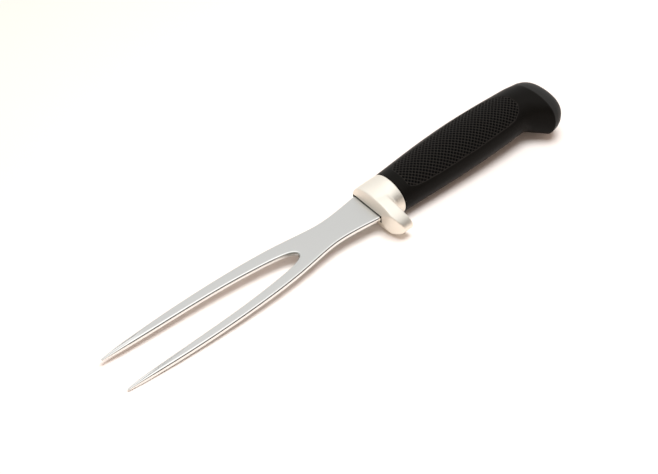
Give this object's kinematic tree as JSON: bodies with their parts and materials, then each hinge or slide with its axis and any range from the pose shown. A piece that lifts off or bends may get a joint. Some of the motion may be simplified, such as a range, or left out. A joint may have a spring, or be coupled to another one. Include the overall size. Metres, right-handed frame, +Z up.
{
  "type": "roasting fork",
  "caption": "Roasting fork with a flat pronged steel blade, a metal guard with a finger stop, and a black textured rubber grip with a flared butt.",
  "frame": {"origin": "centre of the bounding box of the fork, on the surface it lies on", "axes": "+X runs along the fork from the tine points to the butt; +Z is up from the surface it lies on; -Y is the side of the finger stop. The fork lies as it rests: its butt end is higher by about 2.8 degrees, and it leans about 5.9 degrees towards the finger stop."},
  "size_m": [0.277, 0.0394, 0.0269],
  "materials": {
    "blade_steel": "fine satin faces with polished edges",
    "guard_steel": "polished cast metal with a warm tone",
    "grip_rubber": "matt moulded rubber with a pitted panel on each side"
  },
  "bodies": {
    "root": {"fork_blade": "blade_steel", "guard": "guard_steel", "grip": "grip_rubber"}
  },
  "joints": []
}
